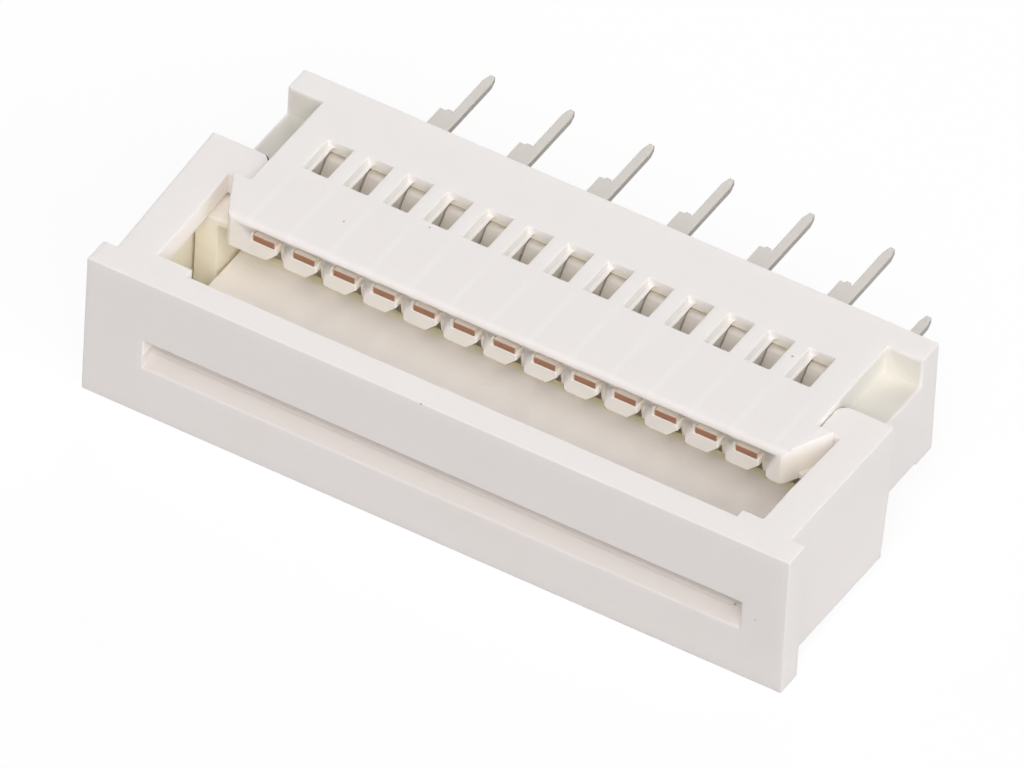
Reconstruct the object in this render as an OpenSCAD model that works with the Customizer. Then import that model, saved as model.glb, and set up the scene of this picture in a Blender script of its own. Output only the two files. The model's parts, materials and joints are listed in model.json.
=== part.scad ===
// Vertical through-hole connector for a flat flexible cable, with a slider that clamps the cable.
// It lies on its long side: the cable enters from -Y, the solder tails leave towards +Y.
// All lengths are in millimetres. Depths (y) run back from the slider's front face,
// heights (z) run up from the surface that the connector lies on.

/* [Contacts] */
// Number of contacts
circuits = 13; // [4:1:20]
// Distance between neighbouring contacts
pitch = 1.25; // [1.15:0.05:2.5]
// Width of a contact strip
strip_w = 0.66; // [0.5:0.02:0.7]
// Width of a contact between its barbs and its shoulder
leg_w = 0.4; // [0.3:0.02:0.5]
// Thickness of the contact sheet
strip_t = 0.2; // [0.12:0.01:0.22]
// Width of a solder tail
tail_w = 0.28; // [0.2:0.02:0.4]
// Length of the solder tails behind the seating face
tail_l = 3.55; // [2.6:0.05:5]
// Length of the wide shoulder behind the seating face
shoulder_l = 1.65; // [0.6:0.05:2]
// Distance between the two rows of tails
row_gap = 1.85; // [1:0.05:2.2]
// Centreline radius of the sharp bends
bend_r = 0.2; // [0.15:0.01:0.24]

/* [Housing] */
// Depth of the housing from the finger tips to the seating face
housing_d = 6.05; // [5.9:0.05:8]
// Height of the housing body
housing_h = 3.67; // [3.6:0.01:4.2]
// Thickness of the flange behind the body
flange_t = 0.85; // [0.7:0.05:1.2]
// How far the flange reaches below the body
flange_drop = 0.1; // [0:0.01:0.3]
// Thickness of the floor below the cable
floor_t = 0.32; // [0.2:0.01:0.4]
// Thickness of the skin above the contacts
skin_t = 0.22; // [0.15:0.01:0.25]
// Thickness of the walls between contacts
comb_wall = 0.25; // [0.15:0.01:0.3]
// Side wall of the cable cavity
side_wall = 0.7; // [0.4:0.05:1]
// Depth of the fingers below the top
finger_h = 1.17; // [1.1:0.01:1.4]
// Length of the feet that carry the contact tips
foot_l = 1.1; // [0.6:0.05:1.15]
// Radius along the front edge of the top
top_edge_r = 0.2; // [0.05:0.01:0.2]
// Width of the windows above the contacts
window_w = 0.8; // [0.5:0.02:0.85]
// Length of the windows above the contacts
window_l = 1.37; // [0.6:0.01:1.6]
// How far a snap wedge stands out from the housing side
wedge_w = 0.54; // [0.3:0.01:0.56]
// Length of a snap wedge
wedge_l = 1.36; // [0.8:0.01:1.4]

/* [Slider] */
// Height of the slider plate
plate_h = 4.69; // [4.65:0.01:5.5]
// Thickness of the slider plate
plate_t = 0.84; // [0.7:0.01:0.9]
// Width of the stop pad beside the left arm
left_pad_w = 1.1; // [0.8:0.05:1.2]
// Width of the stop pad beside the right arm
right_pad_w = 0.65; // [0.6:0.05:1.2]
// How far the plate ends stand out past the arms
plate_overhang = 0.45; // [0:0.05:1]
// Height of the cable slot in the plate
slot_h = 0.95; // [0.8:0.01:1.2]
// Thickness of the tongue that presses the cable
tongue_t = 0.46; // [0.35:0.01:0.48]
// Length of the tongue behind the plate's front face
tongue_l = 5.6; // [4.5:0.05:5.65]
// Length of the arms behind the plate's front face
arm_l = 6.2; // [5.8:0.05:6.3]
// Thickness of an arm's web beside the housing
arm_web = 0.46; // [0.3:0.01:0.6]
// How far the left arm spreads at its free end
left_spread = 0.28; // [0:0.01:0.3]
// How far the right arm spreads at its free end
right_spread = 0.06; // [0:0.01:0.3]
// Height of an arm's top lip
top_lip = 0.72; // [0.5:0.01:0.75]
// Gap between an arm's underside and the surface below
arm_lift = 0.19; // [0:0.01:0.3]
// Thickness of the rib that stiffens the plate below the tongue
root_t = 0.76; // [0:0.02:0.8]

/* [Fits] */
// Distance that the slider travels when it closes
travel = 2.3; // [1.5:0.05:2.35]
// Gap left between the stop pads and the housing when the slider is closed
stop_gap = 0.05; // [0.02:0.01:0.1]
// Clearance between the slider and the housing guides
guide_gap = 0.08; // [0.04:0.01:0.1]
// Clearance below and above the tongue
tongue_gap = 0.04; // [0.02:0.01:0.06]
// Clearance between a hook and the housing's side and wedge
hook_gap = 0.04; // [0.03:0.01:0.1]
// Room between the tongue's right edge and the end of the cable slot
slot_room = 0.43; // [0:0.01:0.5]
// Clearance beside a contact in its slot, which its barbs take up
barb_gap = 0.04; // [0.02:0.005:0.05]
// Clearance between the open tongue and a contact above its path
contact_gap = 0.1; // [0.05:0.01:0.2]

/* [Hidden] */
contact_names = [for (i = [1 : circuits]) str("terminal_", i < 10 ? "0" : "", i)];
$fn = 48;
eps = 0.01;

// Widths, measured from the middle plane
row_half = (circuits - 1) * pitch / 2;
upper_half = row_half + 1.3;
cavity_half = row_half + 1.7;
body_half = cavity_half + side_wall;
recess_half = body_half + guide_gap;
arm_outer = recess_half + arm_web;
plate_half = arm_outer + plate_overhang;
tongue_half = cavity_half - 0.1;
slot_left = tongue_half - 0.05;
slot_right = tongue_half + slot_room;
lip_inner = upper_half + 0.61;
hook_inner = upper_half + hook_gap;

// Depths
pad_back = 1.15;
housing_y = pad_back + travel + stop_gap;
seat_y = housing_y + housing_d;
flange_y = seat_y - flange_t;
body_y = housing_y + 0.5;
overall_d = seat_y + tail_l;
wedge_y = housing_y + 0.1;
wedge_back = wedge_y + wedge_l;
window_back = seat_y - 2.05;
window_front = window_back - window_l;
pocket_y = seat_y - 0.8;
cable_stop = pocket_y - 0.3;
hook_y = wedge_back + hook_gap;

// Heights
recess_bottom = 1.11;
body_bottom = recess_bottom + guide_gap;
housing_top = body_bottom + housing_h;
recess_top = plate_h - top_lip;
ledge_z = recess_top - guide_gap;
finger_z = housing_top - finger_h;
skin_z = housing_top - skin_t;
floor_z = body_bottom + floor_t;
tongue_bottom = floor_z + tongue_gap;
tongue_top = tongue_bottom + tongue_t;
slot_bottom = tongue_top - 0.37;
guide_z = tongue_top + 0.49;
strip_z = housing_top - 0.56;
foot_z = strip_z - strip_t / 2;
slot_ceiling = strip_z + strip_t / 2 + 0.02;
upper_row_z = strip_z - 0.51;
lower_row_z = upper_row_z - row_gap;

function contact_x(i) = (i - 1) * pitch - row_half;
function row_z(i) = i % 2 == 0 ? upper_row_z : lower_row_z;

// A strip's centreline is a chain of corners [y, z, radius]; each corner becomes an arc.
// A sample is [y, z, heading], so the two faces of the strip are the samples moved sideways.
bend_steps = 6;
function left_of(h) = [-sin(h), cos(h)];
function heading(a, b) = atan2(b[1] - a[1], b[0] - a[0]);
function arc_samples(a, b, c) =
    let (h0 = heading(a, b), turn = heading(b, c) - h0, side = sign(turn), r = b[2])
    let (start = [b[0], b[1]] - r * tan(abs(turn) / 2) * [cos(h0), sin(h0)])
    let (centre = start + side * r * left_of(h0))
    [for (k = [0 : bend_steps])
        let (h = h0 + turn * k / bend_steps, p = centre - side * r * left_of(h))
        [p[0], p[1], h]];
function path_samples(path) =
    let (last = len(path) - 1)
    concat(
        [[path[0][0], path[0][1], heading(path[0], path[1])]],
        [for (k = [1 : last - 1]) each arc_samples(path[k - 1], path[k], path[k + 1])],
        [[path[last][0], path[last][1], heading(path[last - 1], path[last])]]
    );
function moved(samples, d) = [for (s = samples) [s[0], s[1]] + d * left_of(s[2])];
function reversed(list) = [for (k = [len(list) - 1 : -1 : 0]) list[k]];

// Puts a shape whose depths run from the slider's front face into the middle of the part
module centred() {
    translate([0, -overall_d / 2, 0]) children();
}

// Extrudes an outline in [y, z] along X, from x0 to x1
module across(x0, x1) {
    translate([x0, 0, 0]) rotate([90, 0, 90]) linear_extrude(x1 - x0) children();
}

// Extrudes an outline in [x, z] along Y, from y0 to y1
module along(y0, y1) {
    translate([0, y1, 0]) rotate([90, 0, 0]) linear_extrude(y1 - y0) children();
}

// Extrudes an outline in [x, y] upward, from z0 to z1
module upward(z0, z1) {
    translate([0, 0, z0]) linear_extrude(z1 - z0) children();
}

module box(x0, x1, y0, y1, z0, z1) {
    translate([x0, y0, z0]) cube([x1 - x0, y1 - y0, z1 - z0]);
}

module both_sides() {
    children();
    mirror([1, 0, 0]) children();
}

// Housing: white moulding with a comb of contact channels above the cable cavity

// Half outline of the upper body in [x, y], with its snap wedge
module upper_outline() {
    inset = 0.12;
    polygon([
        [0, housing_y],
        [upper_half - 2 * inset, housing_y],
        [upper_half - inset, wedge_y],
        [upper_half + wedge_w, wedge_back],
        [upper_half, wedge_back],
        [upper_half, flange_y + eps],
        [0, flange_y + eps]
    ]);
}

// Side view of the upper body in [y, z], with its front edge rounded
module upper_side() {
    polygon(concat(
        [[housing_y, finger_z]],
        [for (a = [180 : -15 : 90])
            [housing_y + top_edge_r + top_edge_r * cos(a), housing_top - top_edge_r + top_edge_r * sin(a)]],
        [[flange_y + eps, housing_top], [flange_y + eps, finger_z]]
    ));
}

// Cable cavity in [y, z]: wide mouth, sloping roof, narrow end in front of the stop
module cavity_outline() {
    mouth = housing_y - eps;
    slope_y = housing_y + foot_l;
    slope_l = 1.1;
    polygon([
        [mouth, floor_z],
        [cable_stop, floor_z],
        [cable_stop, guide_z],
        [slope_y + slope_l, guide_z],
        [slope_y, finger_z],
        [mouth, finger_z]
    ]);
}

channel_left = -pitch / 2 + comb_wall;
channel_right = pitch / 2;

// Top of a contact channel in [x, z], as corners from left to right
channel_roof = [
    [channel_left, skin_z - 0.17],
    [channel_left + 0.17, skin_z],
    [channel_right - 0.1, skin_z],
    [channel_right, skin_z - 0.1]
];

module channel_outline() {
    low = guide_z - eps;
    polygon(concat([[channel_left, low]], channel_roof, [[channel_right, low]]));
}

// The channel at the finger tips, in [x, z], leaves a bevelled foot below the contact
module finger_outline() {
    low = finger_z - eps;
    corner_r = 0.12;
    foot_right = 0.4;
    bevel = 0.32;
    polygon(concat(
        [[channel_left, foot_z]],
        channel_roof,
        [for (a = [180 : 18 : 270])
            [channel_right + corner_r + corner_r * cos(a), finger_z + corner_r + corner_r * sin(a)]],
        [
            [channel_right + corner_r, low],
            [foot_right - bevel, low],
            [foot_right - bevel, finger_z],
            [foot_right, finger_z + bevel],
            [foot_right, foot_z]
        ]
    ));
}

// Everything cut for one contact: channel, window, slot through the rear block and tail pocket
module contact_cuts(i) {
    half = strip_w / 2 + barb_gap;
    pocket_half = (pitch - comb_wall) / 2;
    pocket_bottom = row_z(i) - strip_t / 2 - 0.04;
    web = 0.15;
    translate([contact_x(i), 0, 0]) {
        along(housing_y - eps, housing_y + foot_l + eps) finger_outline();
        along(housing_y + foot_l, window_back) channel_outline();
        box(channel_left, channel_right, window_back - eps, cable_stop, guide_z - eps, foot_z - web);
        box(-window_w / 2, window_w / 2, window_front, window_back, skin_z - eps, housing_top + eps);
        box(-half, half, window_back - eps, pocket_y + eps, foot_z, slot_ceiling);
        box(-pocket_half, pocket_half, pocket_y, seat_y + eps, pocket_bottom, slot_ceiling);
    }
}

module housing() {
    color([0.95, 0.94, 0.91]) centred() difference() {
        union() {
            intersection() {
                both_sides() upward(finger_z, housing_top) upper_outline();
                across(-body_half, body_half) upper_side();
            }
            box(-body_half, body_half, body_y, flange_y + eps, body_bottom, ledge_z);
            box(-body_half, body_half, flange_y, seat_y, body_bottom - flange_drop, housing_top);
        }
        across(-cavity_half, cavity_half) cavity_outline();
        for (i = [1 : circuits]) contact_cuts(i);
    }
}

// Slider: white moulding, a slotted plate with a tongue and two hooked arms

module plate() {
    pad_z = slot_bottom + slot_h + 0.1;
    pad_x = lip_inner + eps;
    box(-plate_half, plate_half, 0, plate_t, 0, plate_h);
    box(-pad_x, left_pad_w - lip_inner, plate_t - eps, pad_back, pad_z, plate_h);
    box(lip_inner - right_pad_w, pad_x, plate_t - eps, pad_back, pad_z, plate_h);
}

// Cable slot in [y, z]: a ramp leads up to the top of the tongue
module slot_outline() {
    polygon([
        [-eps, slot_bottom],
        [0.55, tongue_top],
        [pad_back + eps, tongue_top],
        [pad_back + eps, slot_bottom + slot_h],
        [-eps, slot_bottom + slot_h]
    ]);
}

// Tongue in [y, z], with a nose that wedges itself below the cable
module tongue_outline() {
    nose = 0.2;
    polygon([
        [plate_t / 2, tongue_bottom],
        [tongue_l - nose / 2, tongue_bottom],
        [tongue_l, tongue_bottom + nose / 2],
        [tongue_l, tongue_top - nose],
        [tongue_l - nose, tongue_top],
        [plate_t / 2, tongue_top]
    ]);
}

// Right arm in [x, y], its outer face spreading towards the free end
module arm_outline(spread) {
    root_y = 2.5;
    thinned_y = arm_l - 1.3;
    thinned_inner = lip_inner + 0.1;
    polygon([
        [lip_inner, plate_t / 2],
        [arm_outer, plate_t / 2],
        [arm_outer + spread, arm_l],
        [thinned_inner, arm_l],
        [thinned_inner, thinned_y],
        [lip_inner, root_y]
    ]);
}

// Side view of an arm in [y, z], its free end sloping back to a rounded lower corner
module arm_side() {
    corner_r = 0.1;
    slope = 0.28;
    slope_top = recess_top - 1.2;
    centre = [arm_l - slope - corner_r, arm_lift + corner_r];
    polygon(concat(
        [[0, arm_lift], [0, plate_h], [arm_l, plate_h], [arm_l, slope_top]],
        [for (a = [0 : -15 : -90]) centre + corner_r * [cos(a), sin(a)]]
    ));
}

// Hook in [x, y], with its inner free corner rounded
module hook_outline() {
    corner_r = 0.3;
    outer = lip_inner + 0.2;
    polygon(concat(
        [[outer, hook_y], [hook_inner, hook_y]],
        [for (a = [180 : -15 : 90])
            [hook_inner + corner_r + corner_r * cos(a), arm_l - corner_r + corner_r * sin(a)]],
        [[outer, arm_l]]
    ));
}

module arm(spread) {
    difference() {
        intersection() {
            upward(arm_lift, plate_h) arm_outline(spread);
            across(0, plate_half) arm_side();
        }
        box(lip_inner - 1, recess_half, plate_t, arm_l + 1, recess_bottom, recess_top);
    }
    upward(recess_top, plate_h) hook_outline();
}

module slider() {
    color([0.93, 0.92, 0.9]) centred() {
        difference() {
            plate();
            across(-slot_left, slot_right) slot_outline();
        }
        across(-tongue_half, tongue_half) tongue_outline();
        box(-tongue_half, tongue_half, plate_t - eps, plate_t + root_t, arm_lift, tongue_bottom + eps);
        arm(right_spread);
        mirror([1, 0, 0]) arm(left_spread);
    }
}

// Contacts: strips of sheet, bowed down to the cable, with a shoulder and a narrow tail

// Side view of a contact as the corners [y, z, radius] of its centreline
function contact_path(i) =
    let (
        low_z = tongue_top + contact_gap + strip_t / 2,
        bow_y = housing_y + 1.95,
        drop_y = seat_y - 0.3,
        bow_r = 0.15
    )
    [
        [housing_y + 0.02, strip_z, 0],
        [housing_y + foot_l + 0.2, strip_z, bow_r],
        [bow_y - 0.2, low_z, bow_r],
        [bow_y + 0.2, low_z, bow_r],
        [window_back - 0.1, strip_z, bow_r],
        [drop_y, strip_z, bend_r],
        [drop_y, row_z(i), bend_r],
        [overall_d, row_z(i), 0]
    ];

// Plan of a contact in [x, y]: strip with barbs, narrow leg, shoulder, tail with a pointed tip
module contact_outline() {
    half = strip_w / 2;
    barb_y = window_back + 0.6;
    barb_l = 0.3;
    leg_half = leg_w / 2;
    leg_front = barb_y + 0.15;
    leg_back = seat_y - 0.05;
    tail_y = seat_y + shoulder_l;
    tail_left = half - tail_w;
    tip_l = 0.3;
    tip_in = tail_w / 4;
    polygon([
        [-half, housing_y],
        [half, housing_y],
        [half, barb_y - barb_l],
        [half + barb_gap, barb_y],
        [half, barb_y],
        [half, leg_front],
        [leg_half, leg_front],
        [leg_half, leg_back],
        [half, leg_back],
        [half, overall_d - tip_l],
        [half - tip_in, overall_d],
        [tail_left + tip_in, overall_d],
        [tail_left, overall_d - tip_l],
        [tail_left, tail_y],
        [-half, tail_y],
        [-half, leg_back],
        [-leg_half, leg_back],
        [-leg_half, leg_front],
        [-half, leg_front],
        [-half, barb_y],
        [-half - barb_gap, barb_y],
        [-half, barb_y - barb_l]
    ]);
}

module terminal(i) {
    samples = path_samples(contact_path(i));
    side = strip_t / 2;
    wide = strip_w / 2 + barb_gap + eps;
    color([0.72, 0.66, 0.57]) centred() translate([contact_x(i), 0, 0]) intersection() {
        across(-wide, wide) polygon(concat(moved(samples, side), reversed(moved(samples, -side))));
        upward(0, plate_h) contact_outline();
    }
}

housing();
slider();
for (i = [1 : circuits]) {
    terminal(i);
}
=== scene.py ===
import json
import math

import bpy
from mathutils import Matrix, Vector

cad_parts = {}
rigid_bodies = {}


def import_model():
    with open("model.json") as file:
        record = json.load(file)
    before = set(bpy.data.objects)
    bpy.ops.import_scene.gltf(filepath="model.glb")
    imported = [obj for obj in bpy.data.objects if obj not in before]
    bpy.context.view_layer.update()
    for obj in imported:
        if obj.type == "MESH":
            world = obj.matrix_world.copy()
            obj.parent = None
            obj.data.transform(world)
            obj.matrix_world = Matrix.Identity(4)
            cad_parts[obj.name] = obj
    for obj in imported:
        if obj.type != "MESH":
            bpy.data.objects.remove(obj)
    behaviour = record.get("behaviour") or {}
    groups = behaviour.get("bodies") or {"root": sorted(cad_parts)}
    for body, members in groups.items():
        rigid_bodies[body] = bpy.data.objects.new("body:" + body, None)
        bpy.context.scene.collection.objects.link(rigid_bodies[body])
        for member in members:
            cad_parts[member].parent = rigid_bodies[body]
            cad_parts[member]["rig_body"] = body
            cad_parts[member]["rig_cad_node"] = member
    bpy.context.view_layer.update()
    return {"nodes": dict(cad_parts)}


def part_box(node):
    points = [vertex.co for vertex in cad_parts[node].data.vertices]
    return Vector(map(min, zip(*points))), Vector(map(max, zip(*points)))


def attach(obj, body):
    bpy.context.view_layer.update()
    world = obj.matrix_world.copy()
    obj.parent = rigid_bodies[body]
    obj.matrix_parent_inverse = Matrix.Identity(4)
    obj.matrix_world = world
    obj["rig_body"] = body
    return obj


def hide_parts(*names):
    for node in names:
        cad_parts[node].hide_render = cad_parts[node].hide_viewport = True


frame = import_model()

mm = 0.001


# Camera: a long lens well above the slider's plate, turned to the right and rolled a little,
# so that the whole connector is seen from its cable side with its tails behind.
azimuth, elevation, roll = math.radians(28.62), math.radians(42.18), math.radians(3.39)
focal_length, distance = 1013.7, 0.7692
aim_lowered, aim_moved_left = 0.8075 * mm, 0.0096 * mm
view_back = Vector((
    math.sin(azimuth) * math.cos(elevation),
    -math.cos(azimuth) * math.cos(elevation),
    math.sin(elevation),
))
level = Vector((math.cos(azimuth), math.sin(azimuth), 0.0))
steep = view_back.cross(level)
right = math.cos(roll) * level + math.sin(roll) * steep
up = view_back.cross(right)
plate_low, plate_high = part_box("slider")
aim = Vector((0.0, plate_low.y + 4.0 * mm, plate_high.z - 1.0 * mm))
aim = aim - aim_lowered * up - aim_moved_left * right
camera = bpy.data.objects.new("camera", bpy.data.cameras.new("camera"))
bpy.context.scene.collection.objects.link(camera)
camera.data.sensor_width = 36.0
camera.data.lens = focal_length
camera.data.clip_start, camera.data.clip_end = 0.1, 3.0
camera_turn = Matrix((right, up, view_back)).transposed().to_4x4()
camera.matrix_world = Matrix.Translation(aim + distance * view_back) @ camera_turn
bpy.context.scene.camera = camera
bpy.context.scene.view_settings.view_transform = "Standard"


# Light: six soft lamps all round in a white tent. Those at the front, to the right and low
# behind are the strongest, and all are set for the look from the camera's own side. What the
# camera and a glossy face see of the tent is plain white.
def white_seen_by_camera(tree, lit_shader, surface):
    path = tree.nodes.new("ShaderNodeLightPath")
    seen = tree.nodes.new("ShaderNodeMath")
    seen.operation = "MAXIMUM"
    tree.links.new(path.outputs["Is Camera Ray"], seen.inputs[0])
    tree.links.new(path.outputs["Is Transmission Ray"], seen.inputs[1])
    glossy = tree.nodes.new("ShaderNodeMath")
    glossy.operation = "MAXIMUM"
    tree.links.new(seen.outputs[0], glossy.inputs[0])
    tree.links.new(path.outputs["Is Glossy Ray"], glossy.inputs[1])
    white = tree.nodes.new("ShaderNodeBackground")
    white.inputs["Color"].default_value = (1.0, 1.0, 1.0, 1.0)
    white.inputs["Strength"].default_value = 1.0
    mix = tree.nodes.new("ShaderNodeMixShader")
    tree.links.new(glossy.outputs[0], mix.inputs["Fac"])
    tree.links.new(lit_shader.outputs[0], mix.inputs[1])
    tree.links.new(white.outputs[0], mix.inputs[2])
    tree.links.new(mix.outputs[0], surface)


tent = bpy.data.worlds.new("light_tent")
bpy.context.scene.world = tent
tent.use_nodes = True
tent.node_tree.nodes.clear()
tent_light = tent.node_tree.nodes.new("ShaderNodeBackground")
tent_light.inputs["Color"].default_value = (1.0, 1.0, 1.0, 1.0)
tent_light.inputs["Strength"].default_value = 0.12
tent_out = tent.node_tree.nodes.new("ShaderNodeOutputWorld")
white_seen_by_camera(tent.node_tree, tent_light, tent_out.inputs["Surface"])


def add_sun(name, travel, strength, spread, colour=(1.0, 1.0, 1.0)):
    sun = bpy.data.objects.new(name, bpy.data.lights.new(name, "SUN"))
    bpy.context.scene.collection.objects.link(sun)
    sun.data.energy = strength
    sun.data.color = colour
    sun.data.angle = math.radians(spread)
    sun.rotation_euler = (-Vector(travel)).to_track_quat("Z", "Y").to_euler()


add_sun("lamp_front", (-0.355, 0.650, -0.671), 1.45, 40.0, (1.0, 0.940, 0.942))
add_sun("lamp_above", (-0.1, 0.45, -0.9), 0.27, 30.0)
add_sun("lamp_right", (-1.0, 0.25, -0.35), 1.40, 50.0)
add_sun("lamp_left", (1.0, 0.1, -0.45), 0.54, 50.0)
add_sun("lamp_back", (0.1, -1.0, -0.1), 1.6, 50.0)
add_sun("lamp_behind", (0.39, -0.98, -1.0), 0.16, 10.0)
bpy.context.scene.cycles.diffuse_bounces = 10


# Floor: a sheet of white card under the connector, which holds its faint contact shadow.
# The camera sees it nearly evenly white; to the connector it is a plain pale surface.
bpy.ops.object.select_all(action="DESELECT")
bpy.ops.mesh.primitive_grid_add(
    x_subdivisions=2, y_subdivisions=2, size=4.0, location=(0.0, 0.0, 0.0),
)
floor = bpy.context.object
floor.name = "floor"
glow_strength, glow_share = 1.19, 0.75
card = bpy.data.materials.new("white_card")
card.use_nodes = True
card_tree = card.node_tree
card_tree.nodes.clear()
card_shade = card_tree.nodes.new("ShaderNodeBsdfDiffuse")
card_shade.inputs["Color"].default_value = (0.5, 0.5, 0.5, 1.0)
card_glow = card_tree.nodes.new("ShaderNodeEmission")
card_glow.inputs["Strength"].default_value = glow_strength
card_path = card_tree.nodes.new("ShaderNodeLightPath")
card_share = card_tree.nodes.new("ShaderNodeMath")
card_share.operation = "MULTIPLY"
card_share.inputs[1].default_value = glow_share
card_mix = card_tree.nodes.new("ShaderNodeMixShader")
card_out = card_tree.nodes.new("ShaderNodeOutputMaterial")
card_tree.links.new(card_path.outputs["Is Camera Ray"], card_share.inputs[0])
card_tree.links.new(card_share.outputs[0], card_mix.inputs["Fac"])
card_tree.links.new(card_shade.outputs[0], card_mix.inputs[1])
card_tree.links.new(card_glow.outputs[0], card_mix.inputs[2])
card_tree.links.new(card_mix.outputs[0], card_out.inputs["Surface"])
floor.data.materials.append(card)


# Housing: the white comb moulding, taken to be injection moulded in glass-filled nylon. Its
# edges are broken by the mould's own small radii, and the surface has a fine satin grain.
bench = 1000.0    # small parts are worked on at this enlargement, one unit to the millimetre
weld_distance = 0.0005
flat_angle, sharp_angle, smooth_angle = (math.radians(angle) for angle in (0.5, 28.0, 50.0))


def rounded_copy(node, width, segments, keep_sharp=lambda place: False):
    bpy.ops.object.select_all(action="DESELECT")
    source = frame["nodes"][node]
    piece = source.copy()
    piece.data = source.data.copy()
    piece.parent = None
    piece.name = node + "_moulding"
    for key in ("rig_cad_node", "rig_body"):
        if key in piece:
            del piece[key]
    bpy.context.scene.collection.objects.link(piece)
    piece.select_set(True)
    bpy.context.view_layer.objects.active = piece
    piece.data.transform(Matrix.Scale(bench, 4))
    bpy.ops.object.mode_set(mode="EDIT")
    bpy.ops.mesh.select_all(action="SELECT")
    bpy.ops.mesh.remove_doubles(threshold=weld_distance)
    bpy.ops.mesh.dissolve_limited(angle_limit=flat_angle)
    bpy.ops.mesh.select_all(action="SELECT")
    bpy.ops.mesh.quads_convert_to_tris(ngon_method="BEAUTY")
    bpy.ops.mesh.select_all(action="DESELECT")
    bpy.ops.mesh.select_mode(type="EDGE")
    bpy.ops.mesh.edges_select_sharp(sharpness=sharp_angle)
    bpy.ops.object.mode_set(mode="OBJECT")
    corners = piece.data.vertices
    for edge in piece.data.edges:
        start, end = edge.vertices
        if keep_sharp((corners[start].co + corners[end].co) / 2):
            edge.select = False
    bpy.ops.object.mode_set(mode="EDIT")
    bpy.ops.mesh.bevel(
        offset=width, offset_type="OFFSET", segments=segments, affect="EDGES",
        clamp_overlap=False, miter_outer="SHARP",
    )
    bpy.ops.object.mode_set(mode="OBJECT")
    bpy.ops.object.shade_smooth_by_angle(angle=smooth_angle)
    flats = piece.modifiers.new("flats", "WEIGHTED_NORMAL")
    flats.keep_sharp = True
    bpy.ops.object.modifier_apply(modifier="flats")
    piece.data.transform(Matrix.Scale(1.0 / bench, 4))
    return piece


def new_group(name, taken, given):
    group = bpy.data.node_groups.new(name, "ShaderNodeTree")
    for way, sockets in (("INPUT", taken), ("OUTPUT", given)):
        for socket, kind in sockets:
            group.interface.new_socket(socket, in_out=way, socket_type="NodeSocket" + kind)
    return group


# The grain: faint clouds of an older tint, a few specks of dust, and a fine satin texture.
def make_grain_group():
    group = new_group(
        "moulded_grain",
        [("Vector", "Vector"), ("Clean", "Color"), ("Aged", "Color")],
        [("Color", "Color"), ("Roughness", "Float"), ("Height", "Float")],
    )
    nodes, links = group.nodes, group.links
    taken = nodes.new("NodeGroupInput")
    given = nodes.new("NodeGroupOutput")
    cloud = nodes.new("ShaderNodeTexNoise")
    cloud.inputs["Scale"].default_value = 420.0
    cloud.inputs["Detail"].default_value = 3.0
    grain = nodes.new("ShaderNodeTexNoise")
    grain.inputs["Scale"].default_value = 9000.0
    grain.inputs["Detail"].default_value = 2.0
    for texture in (cloud, grain):
        links.new(taken.outputs["Vector"], texture.inputs["Vector"])
    share = nodes.new("ShaderNodeMapRange")
    share.inputs["From Min"].default_value = 0.35
    share.inputs["From Max"].default_value = 0.75
    links.new(cloud.outputs["Fac"], share.inputs["Value"])
    tint = nodes.new("ShaderNodeMix")
    tint.data_type = "RGBA"
    links.new(share.outputs["Result"], tint.inputs["Factor"])
    links.new(taken.outputs["Clean"], tint.inputs["A"])
    links.new(taken.outputs["Aged"], tint.inputs["B"])
    dust = nodes.new("ShaderNodeTexVoronoi")
    dust.inputs["Scale"].default_value = 500.0
    links.new(taken.outputs["Vector"], dust.inputs["Vector"])
    clear = nodes.new("ShaderNodeMapRange")
    clear.inputs["From Min"].default_value = 0.012
    clear.inputs["From Max"].default_value = 0.026
    links.new(dust.outputs["Distance"], clear.inputs["Value"])
    speck = nodes.new("ShaderNodeMix")
    speck.data_type = "RGBA"
    speck.inputs["A"].default_value = (0.36, 0.32, 0.28, 1.0)
    links.new(clear.outputs["Result"], speck.inputs["Factor"])
    links.new(tint.outputs["Result"], speck.inputs["B"])
    links.new(speck.outputs["Result"], given.inputs["Color"])
    sheen = nodes.new("ShaderNodeMapRange")
    sheen.inputs["To Min"].default_value = 0.42
    sheen.inputs["To Max"].default_value = 0.56
    links.new(grain.outputs["Fac"], sheen.inputs["Value"])
    links.new(sheen.outputs["Result"], given.inputs["Roughness"])
    links.new(grain.outputs["Fac"], given.inputs["Height"])
    return group


moulded_grain = make_grain_group()


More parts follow.
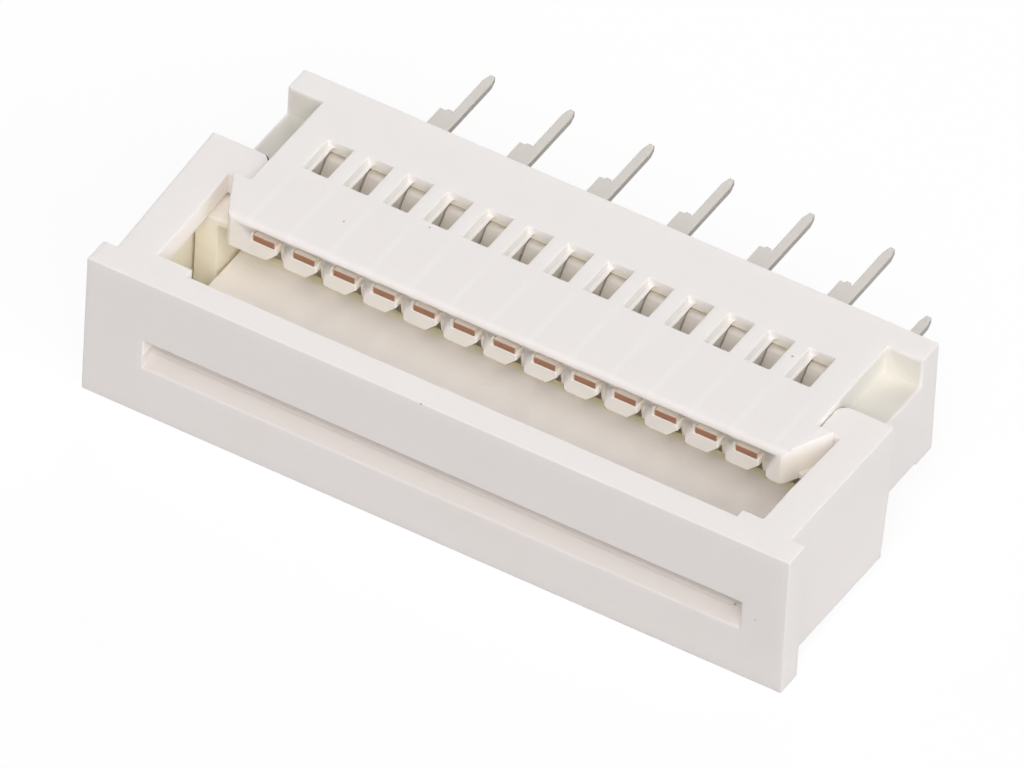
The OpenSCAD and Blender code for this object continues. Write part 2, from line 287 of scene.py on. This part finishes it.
# A painted-light area is a box with soft sides, over which light or shade is painted into the
# colour: its share is one up to "Full" of the way from the centre to a side, and falls to
# nothing at the side.
def make_area_group():
    group = new_group(
        "painted_light_area",
        [("Vector", "Vector"), ("Centre", "Vector"), ("Reach", "Vector"), ("Full", "Float")],
        [("Share", "Float")],
    )
    nodes, links = group.nodes, group.links
    taken = nodes.new("NodeGroupInput")
    given = nodes.new("NodeGroupOutput")
    steps = [nodes.new("ShaderNodeVectorMath") for _ in range(3)]
    for step, operation in zip(steps, ("SUBTRACT", "DIVIDE", "ABSOLUTE")):
        step.operation = operation
    links.new(taken.outputs["Vector"], steps[0].inputs[0])
    links.new(taken.outputs["Centre"], steps[0].inputs[1])
    links.new(steps[0].outputs[0], steps[1].inputs[0])
    links.new(taken.outputs["Reach"], steps[1].inputs[1])
    links.new(steps[1].outputs[0], steps[2].inputs[0])
    split = nodes.new("ShaderNodeSeparateXYZ")
    links.new(steps[2].outputs[0], split.inputs[0])
    wider = nodes.new("ShaderNodeMath")
    widest = nodes.new("ShaderNodeMath")
    wider.operation = widest.operation = "MAXIMUM"
    links.new(split.outputs["X"], wider.inputs[0])
    links.new(split.outputs["Y"], wider.inputs[1])
    links.new(wider.outputs[0], widest.inputs[0])
    links.new(split.outputs["Z"], widest.inputs[1])
    fade = nodes.new("ShaderNodeMapRange")
    fade.inputs["From Min"].default_value = 1.0
    links.new(taken.outputs["Full"], fade.inputs["From Max"])
    links.new(widest.outputs[0], fade.inputs["Value"])
    links.new(fade.outputs["Result"], given.inputs["Share"])
    return group


painted_light_area = make_area_group()

# An area repeats along the row of contacts at the given step, or stands once.
once = 2.0
firm, soft, softest = 0.94, 0.7, 0.1


def tinted(low, high, tint, repeat, full):
    return Vector(low), Vector(high), tint, repeat, full


def make_nylon(name, clean, aged, areas):
    nylon = bpy.data.materials.new(name)
    nylon.use_nodes = True
    nodes, links = nylon.node_tree.nodes, nylon.node_tree.links
    shade = nodes["Principled BSDF"]
    place = nodes.new("ShaderNodeTexCoord")
    grain = nodes.new("ShaderNodeGroup")
    grain.node_tree = moulded_grain
    grain.inputs["Clean"].default_value = (*clean, 1.0)
    grain.inputs["Aged"].default_value = (*aged, 1.0)
    bump = nodes.new("ShaderNodeBump")
    bump.inputs["Strength"].default_value = 0.25
    bump.inputs["Distance"].default_value = 0.00002
    links.new(place.outputs["Object"], grain.inputs["Vector"])
    colour = grain.outputs["Color"]
    # Each area mixes its painted light or shade into the nylon's colour.
    for low, high, tint, repeat, full in areas:
        folded = nodes.new("ShaderNodeVectorMath")
        folded.operation = "WRAP"
        folded.inputs[1].default_value = (repeat / 2, 1.0, 1.0)
        folded.inputs[2].default_value = (-repeat / 2, -1.0, -1.0)
        area = nodes.new("ShaderNodeGroup")
        area.node_tree = painted_light_area
        area.inputs["Centre"].default_value = (low + high) / 2
        area.inputs["Reach"].default_value = (high - low) / 2
        area.inputs["Full"].default_value = full
        painted_mix = nodes.new("ShaderNodeMix")
        painted_mix.data_type = "RGBA"
        painted_mix.inputs["B"].default_value = (*tint, 1.0)
        links.new(place.outputs["Object"], folded.inputs[0])
        links.new(folded.outputs[0], area.inputs["Vector"])
        links.new(area.outputs["Share"], painted_mix.inputs["Factor"])
        links.new(colour, painted_mix.inputs["A"])
        colour = painted_mix.outputs["Result"]
    links.new(colour, shade.inputs["Base Color"])
    links.new(grain.outputs["Roughness"], shade.inputs["Roughness"])
    links.new(grain.outputs["Height"], bump.inputs["Height"])
    links.new(bump.outputs["Normal"], shade.inputs["Normal"])
    shade.inputs["IOR"].default_value = 1.5
    shade.inputs["Subsurface Weight"].default_value = 0.4
    shade.inputs["Subsurface Radius"].default_value = (1.0, 1.0, 0.95)
    shade.inputs["Subsurface Scale"].default_value = 0.0003
    return nylon


house_low, house_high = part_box("housing")
first_low, second_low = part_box("terminal_01")[0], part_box("terminal_02")[0]
pitch = second_low.x - first_low.x
# The nylon itself is one colour. The areas below are painted light and shade that the lamps
# alone don't give: lighter cream in the cavity and channels, lighter wall tops, and painted
# shade, darker or yellower, in the holes, beside the windows, in the left recess and on the
# ledges.
# Painted light: the cavity under the fingers is painted a lighter cream, for light bounced
# inside it.
cavity_painted_light = tinted(
    low=(-9.3 * mm, house_low.y + 0.1 * mm, house_low.z),
    high=(9.3 * mm, house_high.y - 1.0 * mm, house_high.z - 1.15 * mm),
    tint=(0.985, 0.955, 0.87), repeat=once, full=firm,
)
# Painted light: the channels between the fingers are painted a yellower cream, for light
# bounced inside them.
channels_painted_light = tinted(
    low=(-8.6 * mm, house_low.y + 0.2 * mm, house_high.z - 1.2 * mm),
    high=(8.6 * mm, house_high.y - 1.0 * mm, house_high.z - 0.24 * mm),
    tint=(0.985, 0.955, 0.82), repeat=once, full=firm,
)
# Painted shade: the holes in the fingers' fronts are painted darker and yellower.
finger_holes_painted_shade = tinted(
    low=(-0.6 * mm, house_low.y - 0.3 * mm, house_high.z - 1.4 * mm),
    high=(0.7 * mm, house_low.y + 1.2 * mm, house_high.z - 0.1 * mm),
    tint=(0.94, 0.91, 0.83), repeat=pitch, full=0.5,
)
# Painted shade: the side walls of the windows are painted darker.
window_sides_painted_shade = tinted(
    low=(-0.46 * mm, house_high.y - 3.46 * mm, house_high.z - 1.2 * mm),
    high=(-0.34 * mm, house_high.y - 2.06 * mm, house_high.z - 0.04 * mm),
    tint=(0.84, 0.825, 0.79), repeat=pitch, full=firm,
)
# Painted light: the tops of the walls between the fingers are painted lighter, in soft bands.
wall_tops_painted_light = tinted(
    low=(-0.64 * mm, house_low.y - 0.9 * mm, house_high.z - 0.3 * mm),
    high=(-0.36 * mm, house_low.y + 2.6 * mm, house_high.z + 0.3 * mm),
    tint=(0.985, 0.96, 0.935), repeat=pitch, full=softest,
)
# Painted shade: the recess beside the left arm is painted a darker yellow; the one on the right
# is not.
side_wall_painted_shade = tinted(
    low=(-10.0 * mm, house_low.y, 1.0 * mm),
    high=(-8.95 * mm, house_low.y + 2.5 * mm, 4.0 * mm),
    tint=(0.94, 0.90, 0.76), repeat=once, full=soft,
)
# Painted shade: the ledges at both ends, in the pockets before the flanges, are painted darker.
ledges_painted_shade = [
    tinted(
        low=(middle - 0.63 * mm, house_low.y + 2.6 * mm, house_high.z - 1.4 * mm),
        high=(middle + 0.63 * mm, house_high.y - 0.7 * mm, house_high.z - 0.06 * mm),
        tint=(0.80, 0.785, 0.725), repeat=once, full=0.88,
    )
    for middle in (-9.23 * mm, 9.23 * mm)
]
nylon_housing = make_nylon(
    "housing_nylon", clean=(0.965, 0.93, 0.905), aged=(0.96, 0.92, 0.89),
    areas=[cavity_painted_light, channels_painted_light, finger_holes_painted_shade, window_sides_painted_shade, wall_tops_painted_light, side_wall_painted_shade, *ledges_painted_shade],
)
# The narrow strips above the holes in the fingers have no room for a radius.
hole_top_y, hole_top_z = bench * house_low.y + 0.1, bench * house_high.z - 0.45
housing = rounded_copy(
    "housing", width=0.035, segments=2,
    keep_sharp=lambda place: place.y < hole_top_y and place.z > hole_top_z,
)
housing.data.materials.clear()
housing.data.materials.append(nylon_housing)
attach(housing, "housing")
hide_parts("housing")


# Slider: the white nylon plate with its tongue and hooked arms, moulded in one piece.
# It is a shade warmer than the housing and its edges are a little softer.
# Painted shade: the floor of the slot under the plate's lip is painted darker.
slot_floor_painted_shade = tinted(
    low=(-9.7 * mm, plate_low.y, 1.55 * mm),
    high=(9.7 * mm, plate_low.y + 1.2 * mm, 2.1 * mm),
    tint=(0.78, 0.745, 0.71), repeat=once, full=firm,
)
# Painted light: the tongue is painted lighter, for the light that reaches it under the housing.
tongue_painted_light = tinted(
    low=(-9.4 * mm, plate_low.y + 1.1 * mm, 1.4 * mm),
    high=(9.4 * mm, plate_low.y + 6.0 * mm, 2.1 * mm),
    tint=(0.99, 0.965, 0.94), repeat=once, full=firm,
)
# Painted shade: the inner face of the left arm is painted a darker yellow, like the recess
# beside it.
arm_inside_painted_shade = tinted(
    low=(-10.1 * mm, plate_low.y + 0.6 * mm, 0.9 * mm),
    high=(-9.5 * mm, plate_low.y + 6.0 * mm, 4.1 * mm),
    tint=(0.94, 0.90, 0.76), repeat=once, full=soft,
)
# Painted shade: a strip of the tongue below the fingers' feet is painted a deep yellow.
under_fingers_painted_shade = tinted(
    low=(-9.3 * mm, house_low.y + 1.5 * mm, 1.4 * mm),
    high=(9.3 * mm, house_low.y + 5.5 * mm, 2.1 * mm),
    tint=(0.985, 0.955, 0.62), repeat=once, full=0.8,
)
nylon_slider = make_nylon(
    "slider_nylon", clean=(0.965, 0.925, 0.90), aged=(0.96, 0.915, 0.885),
    areas=[slot_floor_painted_shade, tongue_painted_light, under_fingers_painted_shade, arm_inside_painted_shade],
)
slider = rounded_copy("slider", width=0.045, segments=2)
slider.data.materials.clear()
slider.data.materials.append(nylon_slider)
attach(slider, "slider")
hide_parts("slider")


# Terminals: strips stamped and bent from sheet, taken to be a tin-plated copper alloy that
# shows bare at the sheared tips. The stretch inside the housing is painted lighter than real
# tin, as painted light where little light reaches, and the whole is less metallic than real
# tin, so that the contacts can be seen in their windows.
contact_metal = bpy.data.materials.new("tinned_alloy")
contact_metal.use_nodes = True
metal_nodes, metal_links = contact_metal.node_tree.nodes, contact_metal.node_tree.links
metal_shade = metal_nodes["Principled BSDF"]
metal_place = metal_nodes.new("ShaderNodeTexCoord")
metal_split = metal_nodes.new("ShaderNodeSeparateXYZ")
tail_y = max(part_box("terminal_01")[1].y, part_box("terminal_02")[1].y)
metal_run = metal_nodes.new("ShaderNodeMapRange")
metal_run.inputs["From Min"].default_value = first_low.y
metal_run.inputs["From Max"].default_value = tail_y
metal_tones_and_painted_light = metal_nodes.new("ShaderNodeValToRGB")
# Painted light: the stretch inside the housing, and the root behind it, are painted lighter
# than the tails; the tips keep the bare alloy's colour.
tip_shade, inside_painted_light = (0.46, 0.24, 0.15), (0.88, 0.84, 0.79)
root_painted_light, tail_shade = (0.70, 0.665, 0.62), (0.55, 0.525, 0.49)
tone_and_painted_light_stops = [
    (first_low.y, tip_shade),
    (first_low.y + 0.01 * mm, tip_shade),
    (first_low.y + 0.03 * mm, inside_painted_light),
    (first_low.y + 2.2 * mm, inside_painted_light),
    (first_low.y + 2.8 * mm, root_painted_light),
    (house_high.y - 0.8 * mm, root_painted_light),
    (house_high.y, tail_shade),
]
while len(metal_tones_and_painted_light.color_ramp.elements) < len(tone_and_painted_light_stops):
    metal_tones_and_painted_light.color_ramp.elements.new(1.0)
for stop, (along, shade_colour) in zip(metal_tones_and_painted_light.color_ramp.elements, tone_and_painted_light_stops):
    stop.position = (along - first_low.y) / (tail_y - first_low.y)
    stop.color = (*shade_colour, 1.0)
metal_grain = metal_nodes.new("ShaderNodeTexNoise")
metal_grain.inputs["Scale"].default_value = 3000.0
metal_grain.inputs["Detail"].default_value = 3.0
metal_rough = metal_nodes.new("ShaderNodeMapRange")
metal_rough.inputs["To Min"].default_value = 0.55
metal_rough.inputs["To Max"].default_value = 0.65
metal_links.new(metal_place.outputs["Object"], metal_split.inputs["Vector"])
metal_links.new(metal_place.outputs["Object"], metal_grain.inputs["Vector"])
metal_links.new(metal_split.outputs["Y"], metal_run.inputs["Value"])
metal_links.new(metal_run.outputs["Result"], metal_tones_and_painted_light.inputs["Fac"])
metal_links.new(metal_tones_and_painted_light.outputs["Color"], metal_shade.inputs["Base Color"])
metal_links.new(metal_grain.outputs["Fac"], metal_rough.inputs["Value"])
metal_links.new(metal_rough.outputs["Result"], metal_shade.inputs["Roughness"])
metal_shade.inputs["Metallic"].default_value = 0.6

for node in sorted(frame["nodes"]):
    if node.startswith("terminal_"):
        terminal = rounded_copy(node, width=0.012, segments=1)
        terminal.data.materials.clear()
        terminal.data.materials.append(contact_metal)
        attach(terminal, "housing")
        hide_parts(node)
